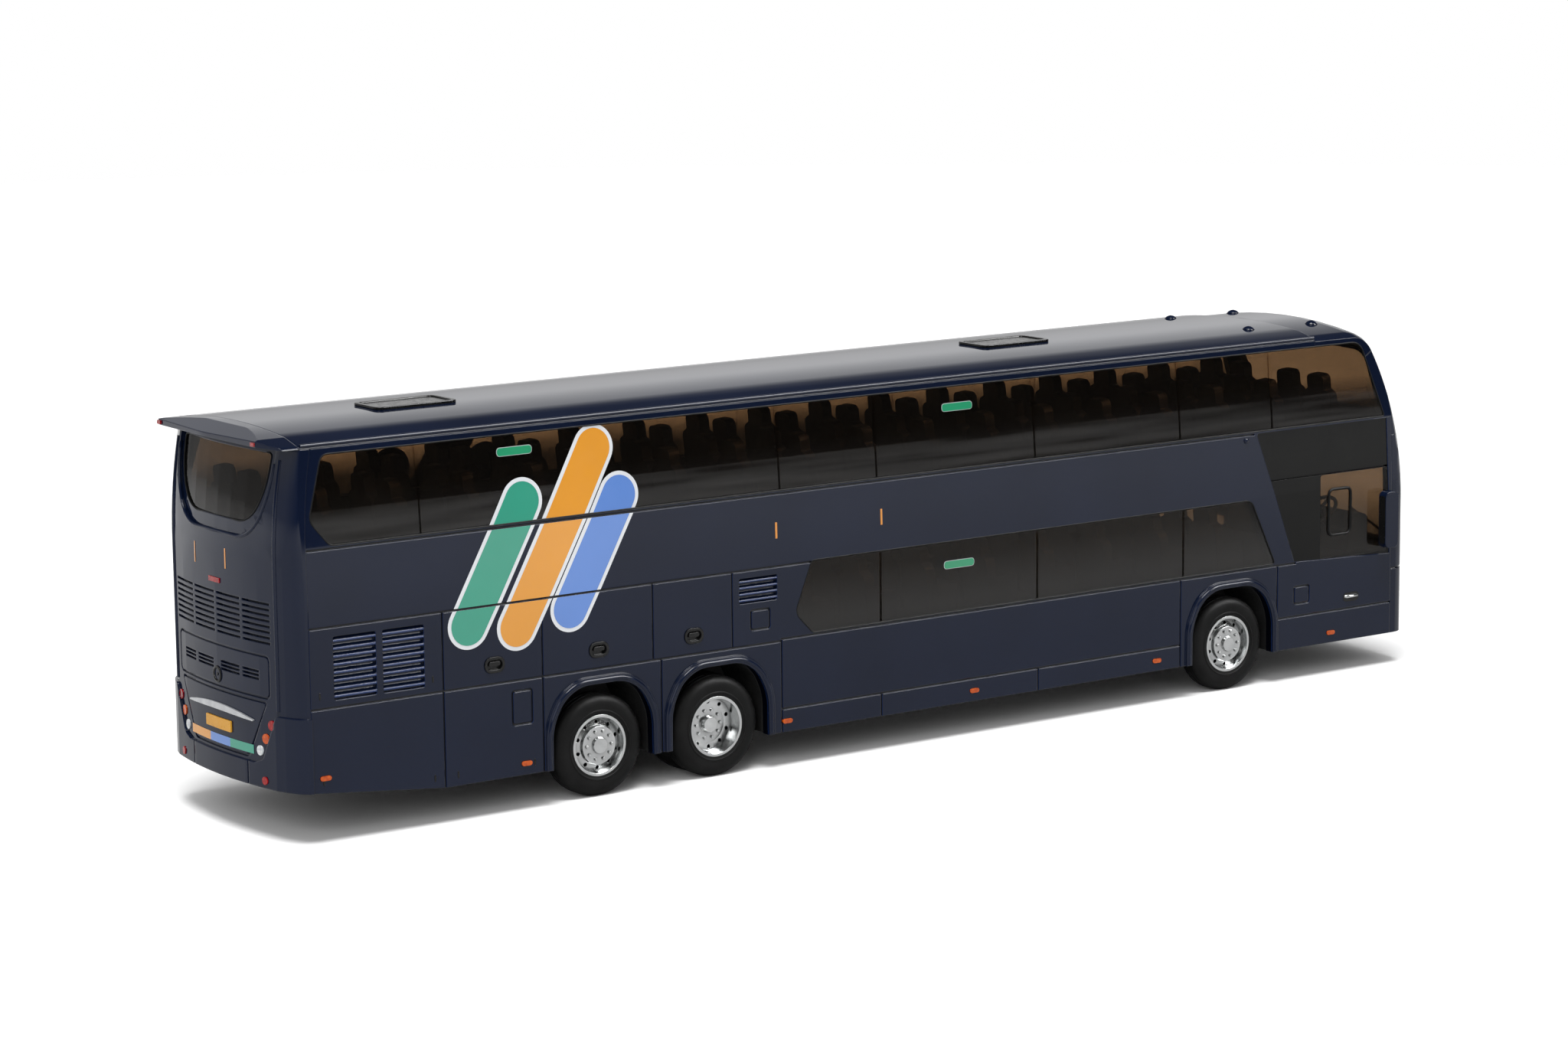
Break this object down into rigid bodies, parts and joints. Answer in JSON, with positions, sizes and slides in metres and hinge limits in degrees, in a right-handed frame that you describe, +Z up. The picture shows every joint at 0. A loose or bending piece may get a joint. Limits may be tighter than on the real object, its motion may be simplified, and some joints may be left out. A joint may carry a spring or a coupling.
{
  "type": "scale model double-deck coach",
  "caption": "Scale model of a three-axle double-deck coach in dark gloss paint, with tinted glazing, fitted decks and free-rolling wheel sets.",
  "frame": {"origin": "on the floor under the middle of the coach", "axes": "+X to the front, +Y to the nearside (left), +Z up"},
  "size_m": [0.187, 0.0374, 0.0503],
  "materials": {
    "navy_paint": "gloss",
    "tyre": "satin",
    "bright_rim": "bright plated",
    "steel_pin": "drawn",
    "black_glazing": "satin black with a tinted window",
    "tinted_glazing": "gloss tinted",
    "interior_plastic": "matte",
    "chassis_plastic": "matte",
    "black_trim": "gloss",
    "clear_lens": "gloss",
    "red_lens": "gloss",
    "amber_lens": "gloss",
    "silver_trim": "silver",
    "yellow_plate": "blank"
  },
  "bodies": {
    "coach": {"body_side_right": "navy_paint", "body_side_left": "navy_paint", "roof": "navy_paint", "front_lower": "navy_paint", "front_upper": "navy_paint", "front_dome": "navy_paint", "rear_panel": "navy_paint", "rear_spoiler": "navy_paint", "upper_glass_right": "tinted_glazing", "upper_glass_left": "tinted_glazing", "lower_glass_right": "tinted_glazing", "lower_glass_left": "tinted_glazing", "cab_panel_right": "black_glazing", "cab_panel_left": "black_glazing", "driver_window": "tinted_glazing", "entrance_door": "navy_paint", "door_glass": "tinted_glazing", "windscreen_lower": "tinted_glazing", "windscreen_upper": "tinted_glazing", "rear_window": "tinted_glazing", "chassis": "chassis_plastic", "lower_deck": "interior_plastic", "upper_deck": "interior_plastic", "driver_seat": "interior_plastic", "dashboard": "interior_plastic", "steering_wheel": "interior_plastic", "roof_hatches": "black_trim", "roof_domes": "navy_paint", "mirror_right": "navy_paint", "mirror_left": "navy_paint", "headlamps": "clear_lens", "tail_lamps_red": "red_lens", "tail_lamps_amber": "amber_lens", "tail_lamps_clear": "clear_lens", "marker_lamps": "amber_lens", "locker_handles": "black_trim", "rear_trim_bar": "silver_trim", "rear_plate": "yellow_plate", "wipers": "black_trim"},
    "front_axle_set": {"front_axle": "steel_pin", "front_rims": "bright_rim", "front_tyres": "tyre"},
    "drive_axle_set": {"drive_axle": "steel_pin", "drive_rims": "bright_rim", "drive_tyres": "tyre"},
    "tag_axle_set": {"tag_axle": "steel_pin", "tag_rims": "bright_rim", "tag_tyres": "tyre"}
  },
  "joints": [
    {"name": "front_wheels_roll", "type": "hinge", "parent": "coach", "child": "front_axle_set", "pos_m": [0.0579, 0, 0.0066], "axis": [0, 1, 0], "continuous": true},
    {"name": "drive_wheels_roll", "type": "hinge", "parent": "coach", "child": "drive_axle_set", "pos_m": [-0.0294, 0, 0.0066], "axis": [0, 1, 0], "continuous": true},
    {"name": "tag_wheels_roll", "type": "hinge", "parent": "coach", "child": "tag_axle_set", "pos_m": [-0.0473, 0, 0.0066], "axis": [0, 1, 0], "continuous": true}
  ]
}
